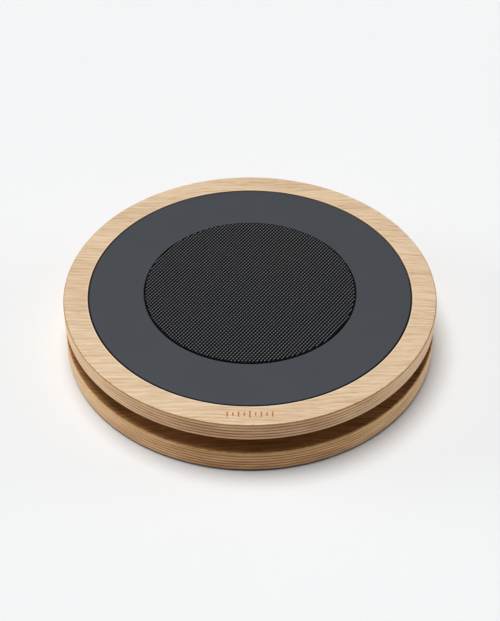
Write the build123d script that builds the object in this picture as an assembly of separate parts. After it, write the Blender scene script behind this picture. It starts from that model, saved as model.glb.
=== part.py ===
"""Two-disc balance board: a round plywood platform that tilts on a central cardan hub over a round plywood base.

Frame: millimetres, +Z up, origin on the floor below the centre, -Y is the user's side (the front).
Hub: a cross (spider) turns about X in the lower yoke, and the upper yoke turns about Y on the same cross.
Each trunnion sits in a rubber torsion bush, which carries the load and brings the platform back to level.
Four rubber buffers on the two hinge axes stop the platform at its tilt limits.
"""

import os
from math import cos, pi, sin

from build123d import *

# ---- driving dimensions: the two plates and their stack ----
PLATE_R = 200.0
PLATE_EDGE_R = 2.0
RING_T = 2.0
BASE_T = 24.0
GAP = 20.0
PLATFORM_T = 21.0

BASE_Z0 = RING_T
BASE_Z1 = BASE_Z0 + BASE_T
PLATFORM_Z0 = BASE_Z1 + GAP
PLATFORM_Z1 = PLATFORM_Z0 + PLATFORM_T
PIVOT_Z = BASE_Z1 + GAP / 2

# ---- standing surface: inlaid mat with a grip pad in its middle ----
MAT_T = 3.0
MAT_POCKET_R = 173.8
MAT_R = 172.8
MAT_HOLE_R = 114.0
MAT_EDGE_R = 0.5
POCKET_CHAMFER = 0.5
MAT_FLOOR_Z = PLATFORM_Z1 - MAT_T
PAD_R = 113.4
PAD_RISE = 1.4
PAD_EDGE_R = 0.4

# ---- front centring scale, inlaid in the platform's rim ----
TICK_COUNT = 9
TICK_PITCH = 5.6
TICK_W = 1.4
TICK_LENGTHS = (10.0, 4.8, 7.0, 4.8, 7.0)
TICK_DEPTH = 0.4
TICK_Y = -184.5
INLAY_GAP = 0.02

# ---- anti-slip ring under the base ----
RING_OUT_R = 197.5
RING_IN_R = 162.0
RING_CHAMFER = 0.4

# ---- hub pockets in the plates ----
POCKET_R = 46.0
BASE_POCKET_DEPTH = 12.0
PLATFORM_POCKET_DEPTH = 9.0
HUB_CHAMFER = 1.0

# ---- cardan hub, measured out from the pivot along each trunnion ----
BLOCK_HALF = 12.5
BLOCK_HALF_H = 10.0
SHOULDER_R = 9.0
SHOULDER_END = 17.5
THRUST_T = 1.6
THRUST_R = 10.5
EAR_IN = 19.5
EAR_OUT = 33.5
EAR_R = 15.0
EAR_FOOT_HALF = 18.0
SLEEVE_END = 34.5
END_WASHER_T = 1.2
END_WASHER_R = 11.0
CIRCLIP_T = 1.0
CIRCLIP_R = 8.4
CIRCLIP_OPENING = 70.0
GROOVE_R = 5.3
TRUNNION_R = 6.0
TRUNNION_END = 38.5
INNER_SLEEVE_R = 7.2
RUBBER_R = 10.0
OUTER_SLEEVE_R = 11.0
RUBBER_INSET = 0.5
FLANGE_R = 42.0
FLANGE_T = 5.0
NOTCH_HALF = 17.0
PRESS_GAP = 0.02
RUNNING_GAP = 0.05
PLAY = 0.1

# ---- hub bolts: M6 countersunk with cup washers ----
BOLT_X = 27.0
BOLT_Y = 22.0
BOLT_R = 3.0
BOLT_HEAD_R = 5.8
BOLT_HEAD_H = 2.8
BOLT_CLEAR_R = 3.4
SOCKET_AF = 4.0
SOCKET_DEPTH = 2.2
CUP_R = 9.0
CUP_T = 3.2
CUP_SINK = 0.2

# ---- tilt buffers on the hinge axes ----
BUFFER_RING_R = 160.0
BUFFER_R = 13.8
BUFFER_TOP_R = 11.2
BUFFER_RISE = 8.4
BUFFER_SEAT_DEPTH = 3.0
BUFFER_SEAT_R = 14.0
BUFFER_EDGE_R = 2.4
BUFFER_WELL_R = 6.4
BUFFER_WELL_FLOOR = 1.6
BUFFER_HOLE_R = 2.6
WASHER_R = 6.0
WASHER_T = 1.0
SCREW_R = 2.1
SCREW_HEAD_R = 4.0
SCREW_HEAD_H = 2.4
SCREW_DEPTH = 14.0
SCREW_TIP = 3.0
SLOT_W = 1.0

QUARTER_TURNS = (0, 90, 180, 270)
HALF_TURNS = (0, 180)


def disc(radius, low, high):
    """A plain cylinder about Z from one height to another."""
    return Pos(0, 0, low) * Cylinder(radius, high - low, align=(Align.CENTER, Align.CENTER, Align.MIN))


def tube(inner, outer, low, high):
    """A plain tube about Z from one height to another."""
    return disc(outer, low, high) - disc(inner, low - 1, high + 1)


def along_x(shape):
    """Turns a shape built up +Z so that it runs out along +X."""
    return Rot(0, 90, 0) * shape


def turned(shape, angles):
    """Copies of a shape turned about Z by each angle, as one group of separate solids."""
    return Compound(children=[Rot(0, 0, angle) * part for angle in angles for part in shape.solids()])


def at_height(shape, height):
    """A group of solids lifted to a height."""
    return Compound(children=[Pos(0, 0, height) * part for part in shape.solids()])


def outer_edges(shape, radius):
    """The circular edges of a shape at one radius."""
    return [e for e in shape.edges().filter_by(GeomType.CIRCLE) if abs(e.radius - radius) < 1e-4]


def edges_at(shape, radius, height):
    """The circular edges of a shape at one radius and height."""
    return [e for e in outer_edges(shape, radius) if abs(e.arc_center.Z - height) < 1e-4]


# ---- hub, in a frame with the pivot at its origin and the lower yoke's ears on X ----


def bolt_places():
    """The four bolt centres of a yoke whose ears stand on X."""
    return [(sx * BOLT_X, sy * BOLT_Y) for sx in (-1, 1) for sy in (-1, 1)]


def yoke(depth):
    """A cast yoke: a notched round flange whose far face is depth below the pivot, and two bored ears."""
    flange_top = -depth + FLANGE_T
    flange = disc(FLANGE_R, -depth, flange_top)
    for side in (-1, 1):
        reach = FLANGE_R - NOTCH_HALF + 1
        middle = side * (NOTCH_HALF + reach / 2)
        flange -= Pos(0, middle, -depth) * Box(2 * NOTCH_HALF, reach, 3 * FLANGE_T)
    for x, y in bolt_places():
        flange -= Pos(x, y, 0) * disc(BOLT_R + RUNNING_GAP, -depth - 1, flange_top + 1)
    foot = Polyline(
        (-EAR_FOOT_HALF, flange_top),
        (EAR_FOOT_HALF, flange_top),
        (EAR_R, 0),
        (-EAR_R, 0),
        close=True,
    )
    outline = make_face(foot) + Circle(EAR_R)
    ear = Pos(EAR_IN, 0, 0) * extrude(Plane.YZ * outline, EAR_OUT - EAR_IN)
    ear -= along_x(disc(OUTER_SLEEVE_R + PRESS_GAP, EAR_IN - 1, EAR_OUT + 1))
    ear = chamfer(outer_edges(ear, OUTER_SLEEVE_R + PRESS_GAP), 0.4)
    return flange + ear + Rot(0, 0, 180) * ear


def cross():
    """The spider: a chamfered block with four shouldered trunnions, each with a circlip groove."""
    block = Box(2 * BLOCK_HALF, 2 * BLOCK_HALF, 2 * BLOCK_HALF_H)
    block = chamfer(block.edges(), 2.0)
    groove_low = SLEEVE_END + END_WASHER_T + PLAY / 2
    trunnion = disc(SHOULDER_R, 0, SHOULDER_END) + disc(TRUNNION_R, 0, TRUNNION_END)
    trunnion = chamfer(edges_at(trunnion, TRUNNION_R, TRUNNION_END), 0.6)
    trunnion -= tube(GROOVE_R, TRUNNION_R + 1, groove_low, groove_low + CIRCLIP_T + PLAY)
    for angle in QUARTER_TURNS:
        block += Rot(0, 0, angle) * along_x(trunnion)
    return block


def circlip():
    """An open retaining ring for the end of a trunnion."""
    low = SLEEVE_END + END_WASHER_T + PLAY
    ring = tube(GROOVE_R + PRESS_GAP, CIRCLIP_R, low, low + CIRCLIP_T)
    reach = 2 * CIRCLIP_R
    half = CIRCLIP_OPENING / 2 * pi / 180
    wedge = Polygon(
        (0, 0),
        (reach * cos(half), -reach * sin(half)),
        (reach * cos(half), reach * sin(half)),
        align=None,
    )
    return along_x(ring - extrude(Pos(0, 0, low - 1) * wedge, CIRCLIP_T + 2))


def on_trunnions(inner, outer, low, high, angles=QUARTER_TURNS):
    """Equal rings on the trunnions that point along the given angles."""
    return turned(along_x(tube(inner, outer, low, high)), angles)


def hub_parts():
    """Every hub piece by node name, lifted to the pivot's height."""
    upper_angles = (90, 270)
    thrust_low = SHOULDER_END + PLAY
    sleeve = (TRUNNION_R + PRESS_GAP, INNER_SLEEVE_R, EAR_IN, SLEEVE_END)
    rubber = (INNER_SLEEVE_R + RUNNING_GAP, RUBBER_R, EAR_IN + RUBBER_INSET, EAR_OUT - RUBBER_INSET)
    shell = (RUBBER_R + PRESS_GAP, OUTER_SLEEVE_R, EAR_IN, EAR_OUT)
    washer = (TRUNNION_R + RUNNING_GAP, END_WASHER_R, SLEEVE_END + PLAY / 4, SLEEVE_END + END_WASHER_T)
    thrust = (TRUNNION_R + RUNNING_GAP, THRUST_R, thrust_low, thrust_low + THRUST_T)
    lower = yoke(PIVOT_Z - (BASE_Z1 - BASE_POCKET_DEPTH))
    upper = Rot(180, 0, 90) * yoke(PLATFORM_Z0 + PLATFORM_POCKET_DEPTH - PIVOT_Z)
    local = {
        "lower_yoke": lower,
        "upper_yoke": upper,
        "cardan_cross": cross(),
        "lower_bush_shells": on_trunnions(*shell, HALF_TURNS),
        "lower_bush_rubbers": on_trunnions(*rubber, HALF_TURNS),
        "upper_bush_shells": on_trunnions(*shell, upper_angles),
        "upper_bush_rubbers": on_trunnions(*rubber, upper_angles),
        "bush_inner_sleeves": on_trunnions(*sleeve),
        "thrust_washers": on_trunnions(*thrust),
        "end_washers": on_trunnions(*washer),
        "circlips": turned(circlip(), QUARTER_TURNS),
    }
    return {name: at_height(shape, PIVOT_Z) for name, shape in local.items()}


# ---- hub bolts, drawn with the head's outer face at z = 0 and the shank pointing up ----


def bolt(length):
    """An M6 countersunk bolt with a hexagon socket."""
    head = Cone(BOLT_HEAD_R, BOLT_R, BOLT_HEAD_H, align=(Align.CENTER, Align.CENTER, Align.MIN))
    shank = disc(BOLT_R, BOLT_HEAD_H, length)
    shank = chamfer(edges_at(shank, BOLT_R, length), 0.5)
    socket = extrude(RegularPolygon(SOCKET_AF / 2, 6, major_radius=False), SOCKET_DEPTH)
    return head + shank - socket


def cup_washer():
    """A turned cup washer whose cone takes the bolt's head."""
    cup = disc(CUP_R, 0, CUP_T)
    cup = chamfer(edges_at(cup, CUP_R, 0), 0.6)
    slope = (BOLT_HEAD_R - BOLT_R) / BOLT_HEAD_H
    wide = BOLT_HEAD_R + RUNNING_GAP + slope
    narrow = BOLT_R + RUNNING_GAP
    seat = Cone(wide, narrow, (wide - narrow) / slope, align=(Align.CENTER, Align.CENTER, Align.MIN))
    return cup - Pos(0, 0, -1) * seat - disc(BOLT_R + RUNNING_GAP, -1, CUP_T + 1)


def bolt_hole(web):
    """The hole that a bolt and its cup washer need in a plywood web."""
    return disc(CUP_R + PLAY, -1, CUP_T + CUP_SINK) + disc(BOLT_CLEAR_R, 0, web + 1)


def at_bolts(shape, placing, turn):
    """A shape set at each of a yoke's four bolts."""
    places = [Rot(0, 0, turn) * Pos(x, y, 0) for x, y in bolt_places()]
    return [placing * place * shape for place in places]


BASE_WEB = BASE_T - BASE_POCKET_DEPTH
PLATFORM_WEB = PLATFORM_T - PLATFORM_POCKET_DEPTH - MAT_T
FROM_BELOW = Pos(0, 0, BASE_Z0)
FROM_ABOVE = Pos(0, 0, MAT_FLOOR_Z) * Rot(180, 0, 0)


def fastener_parts():
    """Hub bolts and cup washers: the base's from below, the platform's from above, under the mat."""
    sunk = Pos(0, 0, CUP_SINK)
    end_gap = 0.3
    base_bolt = sunk * bolt(BASE_WEB + FLANGE_T - CUP_SINK - end_gap)
    platform_bolt = sunk * bolt(PLATFORM_WEB + FLANGE_T - CUP_SINK - end_gap)
    cup = sunk * cup_washer()
    return {
        "base_bolts": Compound(children=at_bolts(base_bolt, FROM_BELOW, 0)),
        "base_cup_washers": Compound(children=at_bolts(cup, FROM_BELOW, 0)),
        "platform_bolts": Compound(children=at_bolts(platform_bolt, FROM_ABOVE, 90)),
        "platform_cup_washers": Compound(children=at_bolts(cup, FROM_ABOVE, 90)),
    }


# ---- plates ----


def rounded_plate(low, high):
    """A plywood disc with its rim eased top and bottom."""
    plate = disc(PLATE_R, low, high)
    return fillet(outer_edges(plate, PLATE_R), PLATE_EDGE_R)


def base_plate():
    """The lower plywood disc: hub pocket, bolt holes, buffer seats and pilot holes."""
    plate = rounded_plate(BASE_Z0, BASE_Z1)
    plate -= disc(POCKET_R, BASE_Z1 - BASE_POCKET_DEPTH, BASE_Z1 + 1)
    plate = chamfer(edges_at(plate, POCKET_R, BASE_Z1), HUB_CHAMFER)
    for hole in at_bolts(bolt_hole(BASE_WEB), FROM_BELOW, 0):
        plate -= hole
    seat_floor = BASE_Z1 - BUFFER_SEAT_DEPTH
    seat = disc(BUFFER_SEAT_R, seat_floor, BASE_Z1 + 1)
    seat += disc(SCREW_R + RUNNING_GAP, seat_floor - SCREW_DEPTH, seat_floor + 1)
    for angle in QUARTER_TURNS:
        plate -= Rot(0, 0, angle) * Pos(BUFFER_RING_R, 0, 0) * seat
    return plate


def platform_plate():
    """The upper plywood disc: mat pocket above, hub pocket below, bolt holes and the inlaid scale's slots."""
    plate = rounded_plate(PLATFORM_Z0, PLATFORM_Z1)
    plate -= disc(MAT_POCKET_R, MAT_FLOOR_Z, PLATFORM_Z1 + 1)
    plate = chamfer(edges_at(plate, MAT_POCKET_R, PLATFORM_Z1), POCKET_CHAMFER)
    plate -= disc(POCKET_R, PLATFORM_Z0 - 1, PLATFORM_Z0 + PLATFORM_POCKET_DEPTH)
    plate = chamfer(edges_at(plate, POCKET_R, PLATFORM_Z0), HUB_CHAMFER)
    for hole in at_bolts(bolt_hole(PLATFORM_WEB), FROM_ABOVE, 90):
        plate -= hole
    for tick in scale_ticks(0.0, 1.0):
        plate -= tick
    return plate


def scale_ticks(gap, extra):
    """The centring scale's bars, shrunk all round by gap and raised past the surface by extra."""
    ticks = []
    middle = TICK_COUNT // 2
    for i in range(TICK_COUNT):
        length = TICK_LENGTHS[abs(i - middle)]
        bar = SlotOverall(length - 2 * gap, TICK_W - 2 * gap, rotation=90)
        low = PLATFORM_Z1 - TICK_DEPTH
        place = Pos((i - middle) * TICK_PITCH, TICK_Y, low)
        ticks.append(place * extrude(bar, TICK_DEPTH + extra))
    return ticks


# ---- rubber and foam pieces ----


def foot_mat():
    """The ring-shaped inlay that fills the platform's pocket around the grip pad."""
    mat = tube(MAT_HOLE_R, MAT_R, MAT_FLOOR_Z, PLATFORM_Z1)
    return fillet(edges_at(mat, MAT_R, PLATFORM_Z1), MAT_EDGE_R)


def grip_pad():
    """The round pad in the mat's middle, a little proud of it."""
    top = PLATFORM_Z1 + PAD_RISE
    pad = disc(PAD_R, MAT_FLOOR_Z, top)
    return fillet(edges_at(pad, PAD_R, top), PAD_EDGE_R)


def anti_slip_ring():
    """The thin rubber ring that the base stands on."""
    ring = tube(RING_IN_R, RING_OUT_R, 0, RING_T)
    return chamfer(edges_at(ring, RING_OUT_R, 0) + edges_at(ring, RING_IN_R, 0), RING_CHAMFER)


def tilt_buffer():
    """One tapered rubber buffer with a well for its washer and screw, drawn about Z at its real height."""
    floor = BASE_Z1 - BUFFER_SEAT_DEPTH
    top = BASE_Z1 + BUFFER_RISE
    well = BASE_Z1 + BUFFER_WELL_FLOOR
    foot = disc(BUFFER_R, floor, BASE_Z1 + 1)
    body = Pos(0, 0, BASE_Z1 + 1) * Cone(
        BUFFER_R, BUFFER_TOP_R, BUFFER_RISE - 1, align=(Align.CENTER, Align.CENTER, Align.MIN)
    )
    buffer = foot + body
    buffer = fillet(edges_at(buffer, BUFFER_TOP_R, top), BUFFER_EDGE_R)
    return buffer - disc(BUFFER_WELL_R, well, top + 1) - disc(BUFFER_HOLE_R, floor - 1, well + 1)


def buffer_screw():
    """One slotted wood screw, drawn about Z at its real height."""
    seat = BASE_Z1 + BUFFER_WELL_FLOOR + WASHER_T + PLAY
    tip = BASE_Z1 - BUFFER_SEAT_DEPTH - SCREW_DEPTH + PLAY
    head = disc(SCREW_HEAD_R, seat, seat + SCREW_HEAD_H)
    head = fillet(edges_at(head, SCREW_HEAD_R, seat + SCREW_HEAD_H), 1.0)
    head -= Pos(0, 0, seat + SCREW_HEAD_H) * Box(3 * SCREW_HEAD_R, SLOT_W, 2 * SLOT_W)
    shank = disc(SCREW_R, tip + SCREW_TIP, seat)
    point = Pos(0, 0, tip) * Cone(0.3, SCREW_R, SCREW_TIP, align=(Align.CENTER, Align.CENTER, Align.MIN))
    return head + shank + point


def buffer_parts():
    """The four buffers, their washers and their screws."""
    low = BASE_Z1 + BUFFER_WELL_FLOOR + PLAY / 2
    washer = tube(SCREW_R + PLAY, WASHER_R, low, low + WASHER_T)
    out = Pos(BUFFER_RING_R, 0, 0)
    return {
        "tilt_buffers": turned(out * tilt_buffer(), QUARTER_TURNS),
        "buffer_washers": turned(out * washer, QUARTER_TURNS),
        "buffer_screws": turned(out * buffer_screw(), QUARTER_TURNS),
    }


def all_parts():
    """Every node of the board by name."""
    return {
        "base_plate": base_plate(),
        "anti_slip_ring": anti_slip_ring(),
        "platform_plate": platform_plate(),
        "foot_mat": foot_mat(),
        "grip_pad": grip_pad(),
        "front_scale_inlay": Compound(children=scale_ticks(INLAY_GAP, 0.0)),
        **hub_parts(),
        **fastener_parts(),
        **buffer_parts(),
    }


os.makedirs("parts", exist_ok=True)
for node, shape in all_parts().items():
    export_step(shape, f"parts/{node}.step")
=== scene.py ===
"""Looks of the balance board: oak plywood discs, inlaid mat, studded grip pad and the hub between the discs.

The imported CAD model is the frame. The two discs, the mat, the grip pad and the rubber ring under the base are
rebuilt as finer meshes in the same places, and the hub, the fasteners and the scale keep their CAD shapes.
"""

import random
from dataclasses import dataclass
from math import cos, pi, radians, sin, sqrt

import bmesh
import bpy
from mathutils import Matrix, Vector


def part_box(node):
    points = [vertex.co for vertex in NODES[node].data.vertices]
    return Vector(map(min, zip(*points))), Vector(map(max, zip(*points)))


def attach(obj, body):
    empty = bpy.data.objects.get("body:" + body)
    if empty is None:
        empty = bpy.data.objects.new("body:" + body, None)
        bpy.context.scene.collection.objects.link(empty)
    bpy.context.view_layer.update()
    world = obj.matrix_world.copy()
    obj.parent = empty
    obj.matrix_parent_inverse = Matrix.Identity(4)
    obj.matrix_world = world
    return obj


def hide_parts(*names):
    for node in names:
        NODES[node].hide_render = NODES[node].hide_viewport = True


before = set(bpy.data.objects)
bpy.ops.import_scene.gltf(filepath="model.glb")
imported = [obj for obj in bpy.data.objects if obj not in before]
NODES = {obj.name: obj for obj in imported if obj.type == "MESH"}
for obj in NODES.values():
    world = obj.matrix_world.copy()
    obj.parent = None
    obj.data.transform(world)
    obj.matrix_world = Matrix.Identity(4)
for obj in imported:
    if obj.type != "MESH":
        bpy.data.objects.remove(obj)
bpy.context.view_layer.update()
MM = 0.001
SEGMENTS = 720

PLATFORM_LOW, PLATFORM_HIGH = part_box("platform_plate")
BASE_LOW, BASE_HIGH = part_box("base_plate")
MAT_LOW, MAT_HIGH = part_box("foot_mat")
PAD_LOW, PAD_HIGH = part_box("grip_pad")
RING_LOW, RING_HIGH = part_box("anti_slip_ring")
PLATE_R = 200 * MM
EDGE_R = 2 * MM
HUB_POCKET_R = 46 * MM
HUB_CHAMFER = 1 * MM
BASE_POCKET_FLOOR = BASE_HIGH.z - 12 * MM
PLATFORM_POCKET_ROOF = PLATFORM_LOW.z + 9 * MM
MAT_POCKET_R = 173.8 * MM
MAT_R = 172.8 * MM
MAT_HOLE_R = 114 * MM
PAD_R = 113.4 * MM
RING_OUT_R = 197.5 * MM
RING_IN_R = 162 * MM
BOLT_X = 27 * MM
BOLT_Y = 22 * MM
BOLT_HOLE_R = 3.4 * MM
COUNTERBORE_R = 9.1 * MM
COUNTERBORE_DEPTH = 3.4 * MM
BUFFER_RING_R = 160 * MM
BUFFER_SEAT_R = 14 * MM
BUFFER_SEAT_DEPTH = 3 * MM
SCREW_HOLE_R = 2.15 * MM
SCREW_HOLE_DEPTH = 14 * MM
# How far a cutter reaches past the face that it opens.
PAST = 1 * MM
TICK_COUNT = 9
TICK_PITCH = 5.6 * MM
TICK_W = 1.4 * MM
# From the middle tick outwards.
TICK_LENGTHS = (10.0 * MM, 4.8 * MM, 7.0 * MM, 4.8 * MM, 7.0 * MM)
TICK_DEPTH = 0.4 * MM
TICK_GAP = 0.03 * MM
TICK_Y = -184.5 * MM

# What a face of a plywood disc is cut through, kept as a face attribute. A rim's plies count from 1, so the
# thick ones are odd and the thin ones even. A foam or rubber piece has only a skin and cut or moulded edges.
LAYER = "layer"
FACE_VENEER = 0.0
VENEER_EDGE = 0.5
THICK_PLY = 3.0
THIN_PLY = 4.0
GLUE = -1.0
# The mat pocket's floor, painted near black as painted shade under the mat.
SHADED_POCKET_FLOOR = -2.0
SKIN = 0.0
# On the mat, the cut edges and underside are painted near black: painted shade in the grooves round it and
# under it.
CUT_EDGE = 1.0


# ---- camera: the photograph's viewing angle ----

CAMERA_ELEVATION = radians(41.51)
CAMERA_DISTANCE = 1.6
CAMERA_LENS_MM = 86.3
AIM_BELOW_CENTRE = radians(0.80)


def make_camera():
    """The camera looks at the platform's middle from the front, and a little below it to frame the board."""
    data = bpy.data.cameras.new("camera")
    data.sensor_width = 36
    data.lens = CAMERA_LENS_MM
    camera = bpy.data.objects.new("camera", data)
    bpy.context.scene.collection.objects.link(camera)
    back = Vector((0, -cos(CAMERA_ELEVATION), sin(CAMERA_ELEVATION)))
    camera.location = Vector((0, 0, PLATFORM_HIGH.z)) + CAMERA_DISTANCE * back
    camera.rotation_euler = (pi / 2 - CAMERA_ELEVATION - AIM_BELOW_CENTRE, 0, 0)
    bpy.context.scene.camera = camera


# ---- light and floor ----

DOME_START = 0.2
DOME_LOW = 0.03
DOME_HIGH = 0.18
DOME_COLOUR = (0.87, 0.97, 1.09, 1)
BACKDROP_COLOUR = (0.88, 0.88, 0.88, 1)
FLOOR_HALF = 8.0
FLOOR_COLOUR = (0.840, 0.838, 0.834, 1)
FLOOR_DUST = (0.826, 0.824, 0.820, 1)


def make_dome():
    """A dim dome of sky that brightens overhead. Seen past the floor's edge it is a plain pale backdrop."""
    world = bpy.data.worlds.new("studio")
    world.use_nodes = True
    tree = world.node_tree
    sky = tree.nodes["Background"]
    where = tree.nodes.new("ShaderNodeTexCoord").outputs["Generated"]
    height = tree.nodes.new("ShaderNodeSeparateXYZ")
    tree.links.new(where, height.inputs["Vector"])
    rise = tree.nodes.new("ShaderNodeMapRange")
    rise.interpolation_type = "SMOOTHSTEP"
    tree.links.new(height.outputs["Z"], rise.inputs["Value"])
    rise.inputs["From Min"].default_value = DOME_START
    rise.inputs["To Min"].default_value = DOME_LOW
    rise.inputs["To Max"].default_value = DOME_HIGH
    backdrop = tree.nodes.new("ShaderNodeBackground")
    sky.inputs["Color"].default_value = DOME_COLOUR
    tree.links.new(rise.outputs["Result"], sky.inputs["Strength"])
    backdrop.inputs["Color"].default_value = BACKDROP_COLOUR
    either = tree.nodes.new("ShaderNodeMixShader")
    tree.links.new(tree.nodes.new("ShaderNodeLightPath").outputs["Is Camera Ray"], either.inputs["Fac"])
    tree.links.new(sky.outputs["Background"], either.inputs[1])
    tree.links.new(backdrop.outputs["Background"], either.inputs[2])
    tree.links.new(either.outputs["Shader"], tree.nodes["World Output"].inputs["Surface"])
    bpy.context.scene.world = world


def make_softbox(name, azimuth, elevation, spread, strength):
    """A broad distant light from a direction: azimuth from +X towards +Y, elevation above the floor."""
    data = bpy.data.lights.new(name, "SUN")
    data.energy = strength
    data.angle = radians(spread)
    light = bpy.data.objects.new(name, data)
    turn, rise = radians(azimuth), radians(elevation)
    towards = Vector((cos(rise) * cos(turn), cos(rise) * sin(turn), sin(rise)))
    light.rotation_euler = towards.to_track_quat("Z", "Y").to_euler()
    bpy.context.scene.collection.objects.link(light)


def make_light():
    """Overhead light that leans from the back left, low fills from the left and right, and a dim dome."""
    make_dome()
    make_softbox("overhead", azimuth=140, elevation=81, spread=36, strength=2.78)
    make_softbox("left_fill", azimuth=170, elevation=9, spread=34, strength=1.34)
    make_softbox("right_fill", azimuth=12, elevation=9, spread=34, strength=0.78)
    bpy.context.scene.view_settings.view_transform = "Standard"


def make_floor():
    """A plain pale floor, large enough to fill the view."""
    mesh = bpy.data.meshes.new("floor")
    corners = [(x * FLOOR_HALF, y * FLOOR_HALF, 0) for x, y in ((-1, -1), (1, -1), (1, 1), (-1, 1))]
    mesh.from_pydata(corners, [], [(0, 1, 2, 3)])
    floor = link("floor", mesh)
    paint = Paint("floor_paint")
    colour = paint.mix(paint.noise(paint.place(3)), FLOOR_DUST, FLOOR_COLOUR)
    floor.data.materials.append(paint.finish(colour, roughness=0.9, specular=0.1))


# ---- material building ----

COAT_ROUGHNESS = 0.38


class Paint:
    """A small builder for one node material: each method adds a node and returns its output socket."""

    def __init__(self, name):
        self.material = bpy.data.materials.new(name)
        self.material.use_nodes = True
        self.tree = self.material.node_tree
        self.shader = self.tree.nodes["Principled BSDF"]

    def node(self, kind, **inputs):
        """A node with its inputs set to numbers or linked to sockets, by name."""
        made = self.tree.nodes.new(kind)
        for name, value in inputs.items():
            self.feed(made.inputs[name], value)
        return made

    def feed(self, socket, value):
        """Sets a socket to a number or colour, or links another socket to it."""
        if isinstance(value, bpy.types.NodeSocket):
            self.tree.links.new(value, socket)
        else:
            socket.default_value = value

    def place(self, *scale, shift=(0, 0, 0)):
        """Object coordinates in metres, scaled along each axis."""
        scale = scale * 3 if len(scale) == 1 else scale
        where = self.tree.nodes.new("ShaderNodeTexCoord").outputs["Object"]
        mapping = self.node("ShaderNodeMapping", Vector=where, Scale=scale, Location=shift)
        return mapping.outputs["Vector"]

    def noise(self, where, detail=2.0, roughness=0.5):
        """Smooth noise from 0 to 1, one cycle to a unit."""
        made = self.node("ShaderNodeTexNoise", Vector=where, Scale=1.0, Detail=detail, Roughness=roughness)
        return made.outputs["Fac"]

    def sums(self, operation, *values):
        """A Math node."""
        made = self.tree.nodes.new("ShaderNodeMath")
        made.operation = operation
        for socket, value in zip(made.inputs, values):
            self.feed(socket, value)
        return made.outputs["Value"]

    def split(self, vector):
        """The X, Y and Z of a vector."""
        return self.node("ShaderNodeSeparateXYZ", Vector=vector).outputs

    def remap(self, value, low, high, to_low=0.0, to_high=1.0):
        """A value's range stretched to another range, clamped at both ends."""
        made = self.node("ShaderNodeMapRange", Value=value)
        for key, number in (("From Min", low), ("From Max", high), ("To Min", to_low), ("To Max", to_high)):
            self.feed(made.inputs[key], number)
        return made.outputs["Result"]

    def mix(self, factor, a, b, blend="MIX"):
        """Two colours mixed by a factor. The node's colours are its inputs 6 and 7 and its output 2."""
        made = self.tree.nodes.new("ShaderNodeMix")
        made.data_type = "RGBA"
        made.blend_type = blend
        self.feed(made.inputs["Factor"], factor)
        self.feed(made.inputs[6], a)
        self.feed(made.inputs[7], b)
        return made.outputs[2]

    def attribute(self, name):
        """A number stored on the mesh."""
        made = self.tree.nodes.new("ShaderNodeAttribute")
        made.attribute_name = name
        return made.outputs["Fac"]

    def bump(self, height, depth, strength):
        """A bump normal from a height of 0 to 1 and its depth in metres."""
        made = self.node("ShaderNodeBump", Height=height, Distance=depth, Strength=strength)
        return made.outputs["Normal"]

    def finish(self, colour, roughness=0.5, metallic=0.0, specular=0.5, normal=None, coat=0.0):
        """Connects colour, roughness and bump to the shader, with a satin clear coat where there is one."""
        self.feed(self.shader.inputs["Base Color"], colour)
        self.feed(self.shader.inputs["Roughness"], roughness)
        self.feed(self.shader.inputs["Metallic"], metallic)
        self.shader.inputs["Specular IOR Level"].default_value = specular
        self.shader.inputs["Coat Weight"].default_value = coat
        self.shader.inputs["Coat Roughness"].default_value = COAT_ROUGHNESS
        if normal is not None:
            self.tree.links.new(normal, self.shader.inputs["Normal"])
        return self.material


@dataclass
class Oak:
    """The colours of one disc's plywood, and how dark its plies are.

    thin_dark is how dark the thin plies are at the sides, where the thick ones show pale long grain.
    thin_ply_shade and thick_grain_and_shade are how much darker each gets towards the front and back. For the
    thin plies, which show long grain there, this is painted shade; for the thick ones it is their end grain and
    painted shade.
    """

    pale: tuple
    deep: tuple
    pore: tuple
    ply_light: tuple
    ply_dark: tuple
    veneer_line: tuple
    thin_dark: float
    thin_ply_shade: float
    thick_grain_and_shade: float


PALE_OAK = Oak(
    pale=(0.768, 0.585, 0.393, 1),
    deep=(0.550, 0.358, 0.200, 1),
    pore=(0.350, 0.192, 0.090, 1),
    ply_light=(0.860, 0.570, 0.305, 1),
    ply_dark=(0.315, 0.102, 0.016, 1),
    veneer_line=(0.400, 0.210, 0.070, 1),
    thin_dark=0.20,
    thin_ply_shade=0.82,
    thick_grain_and_shade=0.40,
)
# Face colours painted much darker than the platform's: painted shade for the gap between the discs, where this
# face shows.
BASE_OAK = Oak(
    pale=(0.520, 0.245, 0.078, 1),
    deep=(0.220, 0.086, 0.020, 1),
    pore=(0.130, 0.048, 0.011, 1),
    ply_light=(0.870, 0.560, 0.270, 1),
    ply_dark=(0.350, 0.110, 0.006, 1),
    veneer_line=(0.680, 0.410, 0.165, 1),
    thin_dark=0.42,
    thin_ply_shade=0.60,
    thick_grain_and_shade=0.50,
)
GROWTH_RING_PITCH = 5.0 * MM
GLUE_COLOUR = (0.130, 0.070, 0.035, 1)
# Painted shade for the mat pocket's floor.
POCKET_FLOOR_SHADE_COLOUR = (0.006, 0.006, 0.006, 1)
# Paler veneer for the painted highlight beside the mat's pocket.
POCKET_HIGHLIGHT_OAK = (0.860, 0.700, 0.530, 1)
UNDERSIDE_DARKENING = (0.520, 0.380, 0.250, 1)


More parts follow.
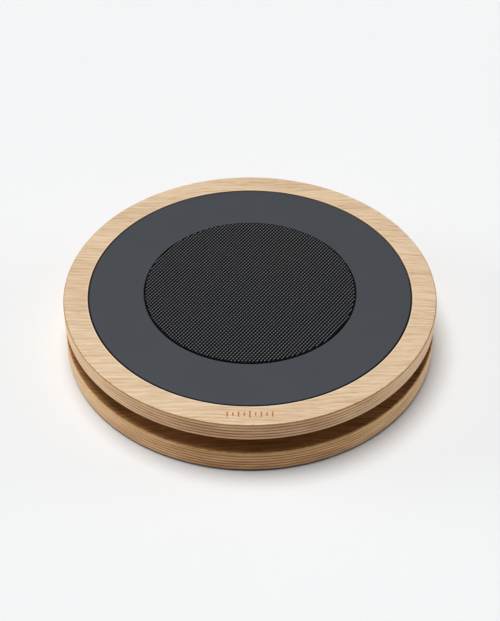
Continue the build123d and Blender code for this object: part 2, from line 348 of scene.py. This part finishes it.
def oak_face(paint, oak, seed):
    """The oak veneer's colour and height: wavy streaks along X, broad figure and short open pores."""
    shift = (seed * 3.1, seed * 7.7, seed * 1.3)
    x, y, z = paint.split(paint.place(1))
    broad = paint.noise(paint.place(4, 9, 9, shift=shift), detail=1)
    ripple = paint.noise(paint.place(60, 110, 60, shift=shift), detail=1)
    drift = paint.noise(paint.place(30, 120, 30, shift=shift), detail=2)
    sway = paint.sums("MULTIPLY_ADD", broad, 0.060, y)
    sway = paint.sums("MULTIPLY_ADD", ripple, 0.0013, sway)
    grain_space = paint.node("ShaderNodeCombineXYZ", X=x, Y=sway, Z=z).outputs["Vector"]

    def along(x_rate, y_rate):
        mapping = paint.node(
            "ShaderNodeMapping", Vector=grain_space, Scale=(x_rate, y_rate, y_rate * 0.2), Location=shift
        )
        return mapping.outputs["Vector"]

    figure = paint.noise(along(4, 60), detail=2)
    streaks = paint.noise(along(22, 450), detail=2, roughness=0.6)
    fibres = paint.noise(along(50, 950), detail=1)
    phase = paint.sums("MULTIPLY_ADD", drift, 9.0, paint.sums("MULTIPLY", sway, 2 * pi / GROWTH_RING_PITCH))
    rings = paint.sums("MULTIPLY_ADD", paint.sums("SINE", phase), 0.5, 0.5)
    tone = paint.sums("MULTIPLY_ADD", figure, 0.20, paint.sums("MULTIPLY", streaks, 0.42))
    tone = paint.sums("MULTIPLY_ADD", fibres, 0.32, tone)
    tone = paint.sums("MULTIPLY_ADD", paint.sums("MULTIPLY", rings, streaks), 0.12, tone)
    colour = paint.mix(paint.remap(tone, 0.38, 0.66), oak.pale, oak.deep)
    pore_mask = paint.remap(paint.noise(along(70, 1100), detail=1), 0.60, 0.72)
    bands = paint.remap(figure, 0.40, 0.60, 0.15, 0.65)
    colour = paint.mix(paint.sums("MULTIPLY", pore_mask, bands), colour, oak.pore)
    pits = paint.sums("MULTIPLY", pore_mask, 0.6)
    return colour, paint.sums("SUBTRACT", paint.sums("MULTIPLY", fibres, 0.5), pits)


def facing(paint):
    """The X, Y and Z of the direction that the surface faces."""
    return paint.split(paint.node("ShaderNodeNewGeometry").outputs["Normal"])


def darker_underneath(paint, colour):
    """Faces that point downwards, painted darker."""
    underneath = paint.sums("LESS_THAN", facing(paint)["Z"], -0.5)
    return paint.mix(underneath, colour, UNDERSIDE_DARKENING, blend="MULTIPLY")


def ply_edge(paint, oak, layer):
    """The rim's colour and height: plies in long or end grain, glue lines, veneers' darker edges and painted
    shade.
    """
    ny = facing(paint)["Y"]
    odd = paint.sums("MODULO", layer, 2.0)
    # Both kinds of ply are painted darker where the rim faces front or back: painted shade, which for the thick
    # plies adds to their end grain.
    across = paint.sums("POWER", paint.sums("ABSOLUTE", ny), 4.0)
    thin = paint.sums("MULTIPLY_ADD", across, oak.thin_ply_shade, oak.thin_dark)
    thick = paint.sums("MULTIPLY", across, oak.thick_grain_and_shade)
    dark = paint.sums("MULTIPLY_ADD", odd, paint.sums("SUBTRACT", thick, thin), thin)
    strands = paint.noise(paint.place(60, 60, 1500), detail=3)
    specks = paint.noise(paint.place(700), detail=2)
    blotches = paint.noise(paint.place(22, 22, 160), detail=2)
    for pattern, amount in ((strands, 0.8), (specks, 0.3), (blotches, 0.9)):
        dark = paint.sums("MULTIPLY_ADD", paint.sums("SUBTRACT", pattern, 0.5), amount, dark)
    plies = paint.mix(paint.remap(dark, 0.0, 1.0), oak.ply_light, oak.ply_dark)
    glue_and_pocket_shade = paint.mix(paint.sums("LESS_THAN", layer, GLUE + 0.5), plies, GLUE_COLOUR)
    # The mat pocket's floor is painted near black: painted shade under the mat, seen through the gaps round it.
    glue_and_pocket_shade = paint.mix(paint.sums("LESS_THAN", layer, SHADED_POCKET_FLOOR + 0.5), glue_and_pocket_shade, POCKET_FLOOR_SHADE_COLOUR)
    is_edge = paint.sums("COMPARE", layer, VENEER_EDGE, 0.2)
    edge = paint.mix(paint.remap(strands, 0.45, 0.75), oak.veneer_line, oak.ply_dark)
    return paint.mix(is_edge, glue_and_pocket_shade, edge), paint.sums("ADD", strands, specks)


def from_axis(paint):
    """The distance from the board's upright axis."""
    place = paint.split(paint.place(1))
    square = paint.sums("MULTIPLY_ADD", place["X"], place["X"], paint.sums("POWER", place["Y"], 2.0))
    return paint.sums("SQRT", square)


def pocket_highlight_ring(paint, colour):
    """Painted highlight: the veneer beside the mat's pocket, painted a little paler where light catches its
    edge.
    """
    share = paint.remap(from_axis(paint), MAT_POCKET_R + 1.6 * MM, MAT_POCKET_R + 0.8 * MM, 0.0, 0.65)
    return paint.mix(share, colour, POCKET_HIGHLIGHT_OAK)


def ragged_edge(paint, oak, colour):
    """The ragged line where the eased corner cuts through the face veneer."""
    ragged = paint.sums("SUBTRACT", paint.noise(paint.place(210), detail=2), 0.5)
    reach = paint.sums("MULTIPLY_ADD", ragged, 3.2 * MM, from_axis(paint))
    share = paint.remap(reach, PLATE_R - 1.3 * MM, PLATE_R - 0.8 * MM, 0.0, 0.75)
    return paint.mix(share, colour, oak.veneer_line)


def plywood(name, oak, seed, pocket_highlight=False):
    """Lacquered oak plywood: veneer on the faces, plies on the rim, told apart by the layer attribute."""
    paint = Paint(name)
    layer = paint.attribute(LAYER)
    face_colour, face_height = oak_face(paint, oak, seed)
    face_colour = darker_underneath(paint, ragged_edge(paint, oak, face_colour))
    # A painted highlight round the mat's pocket.
    if pocket_highlight:
        face_colour = pocket_highlight_ring(paint, face_colour)
    edge_colour, edge_height = ply_edge(paint, oak, layer)
    is_face = paint.sums("COMPARE", layer, FACE_VENEER, 0.2)
    colour = paint.mix(is_face, edge_colour, face_colour)
    height = paint.mix(is_face, edge_height, face_height)
    rough = paint.remap(paint.noise(paint.place(300), detail=2), 0.3, 0.7, 0.50, 0.64)
    grain = paint.bump(height, depth=0.06 * MM, strength=0.6)
    return paint.finish(colour, roughness=rough, specular=0.30, normal=grain, coat=0.3)


MAT_COLOUR = (0.0440, 0.0495, 0.0575, 1)
MAT_COLOUR_WORN = (0.0480, 0.0535, 0.0615, 1)
# Painted shade: the mat's cut edges and underside, near black.
MAT_EDGE_SHADE = (0.004, 0.004, 0.005, 1)


def mat_foam(name):
    """Smooth matt anthracite foam with a very fine skin grain, its cut edges painted near black as painted
    shade.
    """
    paint = Paint(name)
    cloud = paint.noise(paint.place(18), detail=4)
    skin = paint.noise(paint.place(1600), detail=3, roughness=0.7)
    colour = paint.mix(paint.remap(cloud, 0.3, 0.7), MAT_COLOUR, MAT_COLOUR_WORN)
    # Painted shade on the cut edges, for the grooves round the mat and its underside.
    colour = paint.mix(paint.attribute(LAYER), colour, MAT_EDGE_SHADE)
    rough = paint.remap(skin, 0.3, 0.7, 0.56, 0.70)
    bump = paint.bump(skin, depth=0.05 * MM, strength=0.5)
    return paint.finish(colour, roughness=rough, specular=0.3, normal=bump)


# Painted light on the pad: grey stud tops are a painted highlight, near black valleys are painted shade.
GRIP_TOP_HIGHLIGHT = (0.172, 0.174, 0.177, 1)
GRIP_SADDLE = (0.025, 0.026, 0.028, 1)
GRIP_VALLEY_SHADE = (0.0010, 0.0010, 0.0012, 1)


def grip_rubber(name):
    """Black rubber with a painted highlight, grey, on the stud tops and painted shade, near black, in the
    valleys and on its sides.
    """
    paint = Paint(name)
    rise = paint.sums("SUBTRACT", paint.split(paint.place(1))["Z"], PAD_HIGH.z - STUD_HEIGHT)
    low = paint.remap(rise, 0.20 * STUD_HEIGHT, 0.50 * STUD_HEIGHT)
    high = paint.remap(rise, 0.55 * STUD_HEIGHT, 0.96 * STUD_HEIGHT)
    dust = paint.noise(paint.place(500), detail=3)
    # The painted highlight on the stud tops, dimmer in patches.
    top = paint.mix(paint.remap(dust, 0.35, 0.7, 0.0, 0.35), GRIP_TOP_HIGHLIGHT, GRIP_SADDLE)
    colour = paint.mix(high, paint.mix(low, GRIP_VALLEY_SHADE, GRIP_SADDLE), top)
    skin = paint.noise(paint.place(2400), detail=2)
    bump = paint.bump(skin, depth=0.04 * MM, strength=0.4)
    return paint.finish(colour, roughness=0.7, specular=0.08, normal=bump)


def black_rubber(name, colour, grain_rate):
    """Matt moulded rubber with faint grain and dusty patches."""
    paint = Paint(name)
    grain = paint.noise(paint.place(grain_rate), detail=3)
    dust = paint.noise(paint.place(60), detail=4)
    dusty = tuple(min(1.0, 2.2 * c + 0.01) for c in colour[:3]) + (1,)
    tint = paint.mix(paint.remap(dust, 0.5, 0.8, 0.0, 0.5), colour, dusty)
    bump = paint.bump(grain, depth=0.06 * MM, strength=0.6)
    return paint.finish(tint, roughness=0.75, specular=0.3, normal=bump)


COPPER = (0.50, 0.120, 0.010, 1)
COPPER_WORN = (0.68, 0.215, 0.030, 1)


def copper_foil(name):
    """Satin copper foil, slightly uneven."""
    paint = Paint(name)
    wear = paint.noise(paint.place(900), detail=3)
    colour = paint.mix(paint.remap(wear, 0.4, 0.75), COPPER, COPPER_WORN)
    rough = paint.remap(wear, 0.3, 0.7, 0.35, 0.5)
    bump = paint.bump(wear, depth=0.03 * MM, strength=0.4)
    return paint.finish(colour, roughness=rough, metallic=0.25, normal=bump)


ALLOY_DULL = (0.50, 0.51, 0.52, 1)
ALLOY_BRIGHT = (0.62, 0.63, 0.64, 1)


def cast_alloy(name):
    """Blasted die-cast aluminium: fine pits and a dull grey."""
    paint = Paint(name)
    pits = paint.noise(paint.place(1500), detail=3, roughness=0.7)
    cloud = paint.noise(paint.place(60), detail=3)
    colour = paint.mix(paint.remap(cloud, 0.3, 0.7), ALLOY_DULL, ALLOY_BRIGHT)
    rough = paint.remap(pits, 0.3, 0.7, 0.42, 0.6)
    bump = paint.bump(pits, depth=0.12 * MM, strength=0.7)
    return paint.finish(colour, roughness=rough, metallic=0.9, normal=bump)


def metal(name, dull, bright, rough_low, rough_high):
    """Turned or plated steel: very fine tooling marks and slight staining."""
    paint = Paint(name)
    marks = paint.noise(paint.place(2200), detail=2)
    stain = paint.noise(paint.place(150), detail=4)
    colour = paint.mix(paint.remap(stain, 0.35, 0.7), dull, bright)
    rough = paint.remap(stain, 0.3, 0.7, rough_low, rough_high)
    bump = paint.bump(marks, depth=0.02 * MM, strength=0.5)
    return paint.finish(colour, roughness=rough, metallic=1.0, normal=bump)


ACETAL_SHADE = (0.70, 0.69, 0.63, 1)
ACETAL = (0.80, 0.79, 0.74, 1)


def polymer(name):
    """Natural acetal: waxy off-white."""
    paint = Paint(name)
    cloud = paint.noise(paint.place(250), detail=3)
    colour = paint.mix(cloud, ACETAL_SHADE, ACETAL)
    bump = paint.bump(cloud, depth=0.03 * MM, strength=0.3)
    return paint.finish(colour, roughness=0.4, specular=0.5, normal=bump)


# ---- mesh building ----

SHARP_ANGLE = radians(32)


def wave(rng, counts, size):
    """A smooth closed wobble round a disc: a sum of sines with fixed random phases, in metres."""
    terms = [(n, rng.uniform(0, 2 * pi), rng.uniform(0.4, 1.0)) for n in counts]
    total = sqrt(sum(weight * weight for _, _, weight in terms))
    return lambda angle: size * sum(w * sin(n * angle + phase) for n, phase, w in terms) / total


def still(angle):
    """A ring that doesn't wobble."""
    return 0.0


class Ring:
    """One ring of a turned profile. It may wobble along z, and the strip after it belongs to a layer."""

    def __init__(self, r, z, layer, wobble=still):
        self.r = r
        self.z = z
        self.layer = layer
        self.wobble = wobble

    def points(self):
        """The ring's points, or its one point where it lies on the axis."""
        if self.r == 0:
            return [(0, 0, self.z)]
        angles = [2 * pi * i / SEGMENTS for i in range(SEGMENTS)]
        return [(self.r * cos(a), self.r * sin(a), self.z + self.wobble(a)) for a in angles]


def turned(name, rings, closed=False):
    """A turned solid from rings listed anticlockwise in the r-z half plane, with its layer attribute."""
    vertices = []
    starts = []
    for ring in rings:
        starts.append((len(vertices), ring.r == 0))
        vertices += ring.points()
    faces = []
    layers = []
    pairs = list(zip(range(len(rings)), range(1, len(rings))))
    if closed:
        pairs.append((len(rings) - 1, 0))
    for i, j in pairs:
        (a, a_point), (b, b_point) = starts[i], starts[j]
        for k in range(SEGMENTS):
            after = (k + 1) % SEGMENTS
            if a_point:
                face = (a, b + after, b + k)
            elif b_point:
                face = (a + k, a + after, b)
            else:
                face = (a + k, a + after, b + after, b + k)
            faces.append(face)
            layers.append(rings[i].layer)
    mesh = bpy.data.meshes.new(name)
    mesh.from_pydata(vertices, [], faces)
    mesh.attributes.new(LAYER, "FLOAT", "FACE").data.foreach_set("value", layers)
    return link(name, mesh)


def link(name, mesh):
    """A mesh made into an object in the scene."""
    made = bpy.data.objects.new(name, mesh)
    bpy.context.scene.collection.objects.link(made)
    return made


def smooth(piece, angle):
    """Smooth shading with sharp edges above an angle."""
    piece.data.shade_smooth()
    piece.data.set_sharp_from_angle(angle=angle)


def quarter_round(r, z, radius, steps, layer):
    """Rings along a quarter round about (r, z), from its side up to its top."""
    angles = [pi / 2 * i / steps for i in range(steps + 1)]
    return [Ring(r + radius * cos(a), z + radius * sin(a), layer) for a in angles]


# ---- plywood discs ----

VENEER_T = 1.5 * MM
GLUE_T = 0.14 * MM
GLUE_INSET = 0.05 * MM
END_GRAIN_INSET = 0.03 * MM
EASE_START = 0.12 * MM
EASE_SPLIT = 0.34 * MM
PLY_UNEVEN = 0.22
UNDERSIDE_RING_R = 60 * MM
MAT_POCKET_EASE = 0.4 * MM
HOLE_SIDES = 64
SLOT_END_STEPS = 12
SLIVER = 0.002 * MM


def rim(low, high, plies, seed):
    """The rim's rings from the lower face up: veneer, plies with wavy glue lines between them, veneer."""
    rng = random.Random(seed)
    r_mid = PLATE_R - EDGE_R

    def at_depth(depth):
        """How far out the eased rim reaches at a depth below its nearer face."""
        if depth >= EDGE_R:
            return PLATE_R
        return r_mid + sqrt(EDGE_R**2 - (EDGE_R - depth) ** 2)

    ragged = [wave(rng, (7, 19, 43, 71, 113, 167, 199), 0.10 * MM) for _ in range(2)]
    rings = [Ring(r_mid, low, FACE_VENEER), Ring(at_depth(EASE_START), low + EASE_START, FACE_VENEER)]
    rings += [Ring(at_depth(EASE_SPLIT), low + EASE_SPLIT, VENEER_EDGE, ragged[0])]
    thick, thin = 1 + PLY_UNEVEN, 1 - PLY_UNEVEN
    unit = (high - low - 2 * VENEER_T) / (plies + PLY_UNEVEN)
    half_glue = GLUE_T / 2
    z = low + VENEER_T
    for k in range(plies + 1):
        pitch = unit * (thick if k % 2 == 0 else thin)
        r = at_depth(min(z - low, high - z))
        wobble = wave(rng, (2, 3, 5, 11, 23, 37), 0.12 * MM)
        above = k + 1 if k < plies else VENEER_EDGE
        inset = END_GRAIN_INSET * (k % 2)
        rings.append(Ring(r - GLUE_INSET, z - half_glue, GLUE, wobble))
        rings.append(Ring(r - inset, z + half_glue, above, wobble))
        if k < plies:
            rings += ply_rings(z, pitch, low, high, at_depth, above, inset)
        z += pitch
    rings += [Ring(at_depth(EASE_SPLIT), high - EASE_SPLIT, FACE_VENEER, ragged[1])]
    rings += [Ring(at_depth(EASE_START), high - EASE_START, FACE_VENEER), Ring(r_mid, high, FACE_VENEER)]
    return rings


def ply_rings(z, pitch, low, high, at_depth, layer, inset):
    """Rings inside one ply, so that the rim stays round where it is eased."""
    rings = []
    for share in (0.25, 0.5, 0.75):
        height = z + share * pitch
        rings.append(Ring(at_depth(min(height - low, high - height)) - inset, height, layer))
    return rings


def drill(piece, holes, slots=()):
    """Cuts stepped round holes and round-ended slots in a piece. A hole is its x, its y and its steps."""
    shape = bmesh.new()
    for x, y, steps in holes:
        add_hole(shape, x, y, steps)
    for slot in slots:
        add_slot(shape, *slot)
    mesh = bpy.data.meshes.new("cutters")
    shape.to_mesh(mesh)
    shape.free()
    tool = link("cutters", mesh)
    cut = piece.modifiers.new("holes", "BOOLEAN")
    cut.object = tool
    cut.solver = "EXACT"
    graph = bpy.context.evaluated_depsgraph_get()
    drilled = bpy.data.meshes.new_from_object(piece.evaluated_get(graph))
    piece.modifiers.clear()
    piece.data = clean(drilled)
    bpy.data.objects.remove(tool)


def clean(mesh):
    """A mesh with triangles in place of its many-sided faces, and without slivers that have no area."""
    shape = bmesh.new()
    shape.from_mesh(mesh)
    bmesh.ops.triangulate(shape, faces=[face for face in shape.faces if len(face.verts) > 4])
    bmesh.ops.dissolve_degenerate(shape, dist=SLIVER, edges=shape.edges)
    shape.to_mesh(mesh)
    shape.free()
    return mesh


def add_hole(shape, x, y, steps):
    """Adds an upright stepped cylinder to the cutters. A step is its radius, its low end and its high end."""
    angles = [2 * pi * i / HOLE_SIDES for i in range(HOLE_SIDES)]
    rings = []
    for radius, low, high in steps:
        for z in (low, high):
            rings.append([shape.verts.new((x + radius * cos(a), y + radius * sin(a), z)) for a in angles])
    close_tube(shape, rings)


def add_slot(shape, x, y, length, width, low, high):
    """Adds an upright round-ended prism, long along Y, to the cutters."""
    radius = width / 2
    outline = []
    for end, start in ((1, 0), (-1, pi)):
        for i in range(SLOT_END_STEPS + 1):
            angle = start + pi * i / SLOT_END_STEPS
            outline.append((x + radius * cos(angle), y + end * (length / 2 - radius) + radius * sin(angle)))
    close_tube(shape, [[shape.verts.new((px, py, z)) for px, py in outline] for z in (low, high)])


def close_tube(shape, rings):
    """Walls between rings of points listed from the bottom up, and a cap at each end."""
    for a, b in zip(rings, rings[1:]):
        for i in range(len(a)):
            j = (i + 1) % len(a)
            shape.faces.new((a[i], a[j], b[j], b[i]))
    shape.faces.new(list(reversed(rings[0])))
    shape.faces.new(rings[-1])


def bolt_holes(steps, turned_round):
    """A stepped hole at each of the hub's four bolts."""
    x, y = (BOLT_Y, BOLT_X) if turned_round else (BOLT_X, BOLT_Y)
    return [(sx * x, sy * y, steps) for sx in (-1, 1) for sy in (-1, 1)]


def make_base_disc(material):
    """The lower disc, with its hub pocket, bolt holes and buffer seats."""
    low, high = BASE_LOW.z, BASE_HIGH.z
    rings = [Ring(0, low, FACE_VENEER), Ring(UNDERSIDE_RING_R, low, FACE_VENEER)]
    rings += rim(low, high, plies=11, seed=11)
    rings += [
        Ring(HUB_POCKET_R + HUB_CHAMFER, high, VENEER_EDGE),
        Ring(HUB_POCKET_R, high - HUB_CHAMFER, THICK_PLY),
        Ring(HUB_POCKET_R, BASE_POCKET_FLOOR, THIN_PLY),
        Ring(0, BASE_POCKET_FLOOR, THIN_PLY),
    ]
    disc = turned("base_disc", rings)
    bore_top = low + COUNTERBORE_DEPTH
    bolt = [(COUNTERBORE_R, low - PAST, bore_top), (BOLT_HOLE_R, bore_top, BASE_POCKET_FLOOR + PAST)]
    drill(disc, bolt_holes(bolt, turned_round=False) + buffer_seats(high))
    dress(disc, material, "base", "base_plate")


def buffer_seats(top):
    """A shallow round seat with a screw hole under it, for each of the four tilt buffers."""
    floor = top - BUFFER_SEAT_DEPTH
    steps = [(SCREW_HOLE_R, floor - SCREW_HOLE_DEPTH, floor), (BUFFER_SEAT_R, floor, top + PAST)]
    return [(x * BUFFER_RING_R, y * BUFFER_RING_R, steps) for x, y in ((1, 0), (0, 1), (-1, 0), (0, -1))]


def make_platform_disc(material):
    """The upper disc, with the mat's pocket, the hub's pocket and its bolt holes."""
    low, high = PLATFORM_LOW.z, PLATFORM_HIGH.z
    rings = [
        Ring(0, PLATFORM_POCKET_ROOF, THIN_PLY),
        Ring(HUB_POCKET_R, PLATFORM_POCKET_ROOF, THICK_PLY),
        Ring(HUB_POCKET_R, low + HUB_CHAMFER, VENEER_EDGE),
        Ring(HUB_POCKET_R + HUB_CHAMFER, low, FACE_VENEER),
    ]
    rings += rim(low, high, plies=9, seed=5)
    rings += [
        Ring(MAT_POCKET_R + MAT_POCKET_EASE, high, VENEER_EDGE),
        Ring(MAT_POCKET_R, high - MAT_POCKET_EASE, THICK_PLY),
        Ring(MAT_POCKET_R, MAT_LOW.z, SHADED_POCKET_FLOOR),
        Ring(0, MAT_LOW.z, SHADED_POCKET_FLOOR),
    ]
    disc = turned("platform_disc", rings)
    bore_floor = MAT_LOW.z - COUNTERBORE_DEPTH
    shank = (BOLT_HOLE_R, PLATFORM_POCKET_ROOF - PAST, bore_floor)
    bolt = [shank, (COUNTERBORE_R, bore_floor, MAT_LOW.z + PAST)]
    drill(disc, bolt_holes(bolt, turned_round=True), scale_slots(high))
    dress(disc, material, "platform", "platform_plate")


def scale_slots(top):
    """The slots that the scale's copper ticks lie in, each a little larger than its tick."""
    middle = TICK_COUNT // 2
    width = TICK_W + 2 * TICK_GAP
    slots = []
    for i in range(-middle, middle + 1):
        length = TICK_LENGTHS[abs(i)] + 2 * TICK_GAP
        slots.append((i * TICK_PITCH, TICK_Y, length, width, top - TICK_DEPTH, top + PAST))
    return slots


def dress(piece, material, body, node):
    """Gives a piece its material, its body and the CAD node that it stands for."""
    piece.data.materials.clear()
    piece.data.materials.append(material)
    smooth(piece, SHARP_ANGLE)
    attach(piece, body)
    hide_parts(node)


# ---- mat, grip pad and rubber ring ----

MAT_ROUND = 0.8 * MM
MAT_ROUND_STEPS = 6
MAT_UNDER_EASE = 0.2 * MM
MAT_HOLE_EASE = 0.3 * MM
MAT_TOP_RINGS = (160 * MM, 145 * MM, 130 * MM)


def make_mat():
    """The mat's ring, with a rounded outer edge and an eased inner one, its edges painted black as painted
    shade.
    """
    low, high = MAT_LOW.z, MAT_HIGH.z
    rings = [
        Ring(MAT_HOLE_R, low, CUT_EDGE),
        Ring(MAT_R - MAT_UNDER_EASE, low, CUT_EDGE),
        Ring(MAT_R, low + MAT_UNDER_EASE, CUT_EDGE),
    ]
    rings += quarter_round(MAT_R - MAT_ROUND, high - MAT_ROUND, MAT_ROUND, MAT_ROUND_STEPS, CUT_EDGE)
    # The top of the outer rounding keeps the skin's colour; the rest of the edge is painted shade.
    rings[-1].layer = SKIN
    rings += [Ring(r, high, SKIN) for r in MAT_TOP_RINGS]
    rings += [
        Ring(MAT_HOLE_R + MAT_HOLE_EASE, high, CUT_EDGE),
        Ring(MAT_HOLE_R, high - MAT_HOLE_EASE, CUT_EDGE),
    ]
    mat = turned("mat_ring", rings, closed=True)
    dress(mat, mat_foam("mat_foam"), "platform", "foot_mat")


STUD_HEIGHT = 0.85 * MM
# From one bead to the next along its ridge. The step to the next ridge is the same, mirrored left to right.
STUD_STEP = (1.912 * MM, 2.747 * MM)
BEAD_SAMPLES = 6
RIDGE_TOP_HALF = 0.57 * MM
RIDGE_FOOT_HALF = 0.94 * MM
SADDLE_SHARE = 0.48
STUD_FREE_EDGE = 0.9 * MM
RIDGE_SUNK = 0.05 * MM
PAD_EASE_DOWN = 0.3 * MM
PAD_EASE_IN = 0.25 * MM


def ridge_section(share):
    """Height and half width at the top of a ridge at a share of the way from one bead to the next."""
    bead = 0.5 + 0.5 * cos(2 * pi * share)
    height = STUD_HEIGHT * (SADDLE_SHARE + (1 - SADDLE_SHARE) * bead**0.7)
    return height, RIDGE_TOP_HALF * (0.4 + 0.6 * bead)


def ridge_row(shape, middle, across, floor, height, top_half):
    """Four points across a ridge: foot, shoulder, shoulder, foot."""
    section = (
        (-RIDGE_FOOT_HALF, -RIDGE_SUNK),
        (-top_half, height),
        (top_half, height),
        (RIDGE_FOOT_HALF, -RIDGE_SUNK),
    )
    corners = []
    for offset, rise in section:
        point = middle + across * offset
        corners.append(shape.verts.new((point.x, point.y, floor + rise)))
    return corners


def close_ridge(shape, rows):
    """Faces along a ridge, with its underside and both ends closed."""
    for a, b in zip(rows, rows[1:]):
        for i in range(4):
            j = (i + 1) % 4
            shape.faces.new((a[i], a[j], b[j], b[i]))
    shape.faces.new(rows[0])
    shape.faces.new(list(reversed(rows[-1])))


def grip_ridges(floor):
    """A mesh of slanting ridges of beads, each cut off near the pad's edge."""
    shape = bmesh.new()
    field_r = PAD_R - STUD_FREE_EDGE
    step = Vector((*STUD_STEP, 0))
    other_step = Vector((-STUD_STEP[0], STUD_STEP[1], 0))
    along = step.normalized()
    across = Vector((-along.y, along.x, 0))
    pitch = abs(other_step.dot(across))
    slip = other_step.dot(along)
    sample = step.length / BEAD_SAMPLES
    count = int(field_r / pitch)
    for k in range(-count, count + 1):
        reach = sqrt(field_r**2 - (k * pitch) ** 2)
        steps = int(reach / sample)
        rows = []
        for i in range(-steps, steps + 1):
            distance = i * sample
            height, top_half = ridge_section((distance - k * slip) / step.length)
            middle = across * (k * pitch) + along * distance
            rows.append(ridge_row(shape, middle, across, floor, height, top_half))
        close_ridge(shape, rows)
    ridges = bpy.data.meshes.new("grip_ridges")
    bmesh.ops.recalc_face_normals(shape, faces=shape.faces)
    shape.to_mesh(ridges)
    shape.free()
    return ridges


def join(mesh, other):
    """Adds another mesh to a mesh, as closed bodies of their own."""
    both = bmesh.new()
    both.from_mesh(mesh)
    both.from_mesh(other)
    both.to_mesh(mesh)
    both.free()


def make_grip_pad():
    """The grip pad: a round body, and ridges of beads sunk a little into its top."""
    floor = PAD_HIGH.z - STUD_HEIGHT
    ridges = grip_ridges(floor)
    rings = [
        Ring(0, PAD_LOW.z, CUT_EDGE),
        Ring(PAD_R, PAD_LOW.z, CUT_EDGE),
        Ring(PAD_R, floor - PAD_EASE_DOWN, CUT_EDGE),
        Ring(PAD_R - PAD_EASE_IN, floor, CUT_EDGE),
        Ring(0, floor, CUT_EDGE),
    ]
    pad = turned("grip_studs", rings)
    join(pad.data, ridges)
    dress(pad, grip_rubber("grip_rubber"), "platform", "grip_pad")


RING_EASE = 0.4 * MM
GROOVES = 6
GROOVE_DEPTH = 0.5 * MM
GROOVE_TOP_HALF = 0.3 * MM
GROOVE_FOOT_HALF = 0.6 * MM
FOOT_RUBBER = (0.035, 0.035, 0.036, 1)


def make_rubber_ring():
    """The anti-slip ring, with eased lower edges and fine concentric grooves underneath."""
    low, high = RING_LOW.z, RING_HIGH.z
    rings = [
        Ring(RING_IN_R, high, CUT_EDGE),
        Ring(RING_IN_R, low + RING_EASE, CUT_EDGE),
        Ring(RING_IN_R + RING_EASE, low, CUT_EDGE),
    ]
    pitch = (RING_OUT_R - RING_IN_R) / (GROOVES + 1)
    for k in range(1, GROOVES + 1):
        r = RING_IN_R + k * pitch
        rings += [
            Ring(r - GROOVE_FOOT_HALF, low, CUT_EDGE),
            Ring(r - GROOVE_TOP_HALF, low + GROOVE_DEPTH, CUT_EDGE),
            Ring(r + GROOVE_TOP_HALF, low + GROOVE_DEPTH, CUT_EDGE),
            Ring(r + GROOVE_FOOT_HALF, low, CUT_EDGE),
        ]
    rings += [
        Ring(RING_OUT_R - RING_EASE, low, CUT_EDGE),
        Ring(RING_OUT_R, low + RING_EASE, CUT_EDGE),
        Ring(RING_OUT_R, high, CUT_EDGE),
    ]
    material = black_rubber("foot_rubber", FOOT_RUBBER, grain_rate=900)
    ring = turned("floor_ring", rings, closed=True)
    dress(ring, material, "base", "anti_slip_ring")


# ---- CAD nodes that keep their shape ----

BUSH_RUBBER = (0.015, 0.015, 0.015, 1)
BUFFER_RUBBER = (0.028, 0.028, 0.028, 1)
ZINC = ((0.50, 0.51, 0.52, 1), (0.64, 0.65, 0.66, 1))
TUBE_STEEL = ((0.42, 0.42, 0.43, 1), (0.56, 0.56, 0.57, 1))
CROSS_STEEL = ((0.26, 0.26, 0.27, 1), (0.40, 0.40, 0.41, 1))
SPRING_STEEL = ((0.05, 0.05, 0.055, 1), (0.10, 0.10, 0.11, 1))


def paint_cad_nodes():
    """A finished material for every CAD node that stays as it is."""
    zinc = metal("zinc_plate", *ZINC, rough_low=0.28, rough_high=0.42)
    tube = metal("drawn_tube", *TUBE_STEEL, rough_low=0.25, rough_high=0.38)
    copper = copper_foil("copper_foil")
    alloy = cast_alloy("cast_alloy")
    cross = metal("cross_steel", *CROSS_STEEL, rough_low=0.3, rough_high=0.45)
    spring = metal("spring_steel", *SPRING_STEEL, rough_low=0.35, rough_high=0.5)
    bush = black_rubber("bush_rubber", BUSH_RUBBER, grain_rate=1200)
    buffer = black_rubber("buffer_rubber", BUFFER_RUBBER, grain_rate=800)
    acetal = polymer("thrust_polymer")
    finishes = (
        (copper, ("front_scale_inlay",)),
        (alloy, ("lower_yoke", "upper_yoke")),
        (cross, ("cardan_cross",)),
        (spring, ("circlips",)),
        (tube, ("lower_bush_shells", "upper_bush_shells", "bush_inner_sleeves")),
        (bush, ("lower_bush_rubbers", "upper_bush_rubbers")),
        (buffer, ("tilt_buffers",)),
        (acetal, ("thrust_washers",)),
        (zinc, ("base_bolts", "base_cup_washers", "platform_bolts", "platform_cup_washers")),
        (zinc, ("end_washers", "buffer_washers", "buffer_screws")),
    )
    for material, names in finishes:
        for name in names:
            node = NODES[name]
            node.data.materials.clear()
            node.data.materials.append(material)


make_camera()
make_light()
make_floor()
make_base_disc(plywood("oak_plywood_base", BASE_OAK, seed=2))
make_platform_disc(plywood("oak_plywood_platform", PALE_OAK, seed=1, pocket_highlight=True))
make_mat()
make_grip_pad()
make_rubber_ring()
paint_cad_nodes()
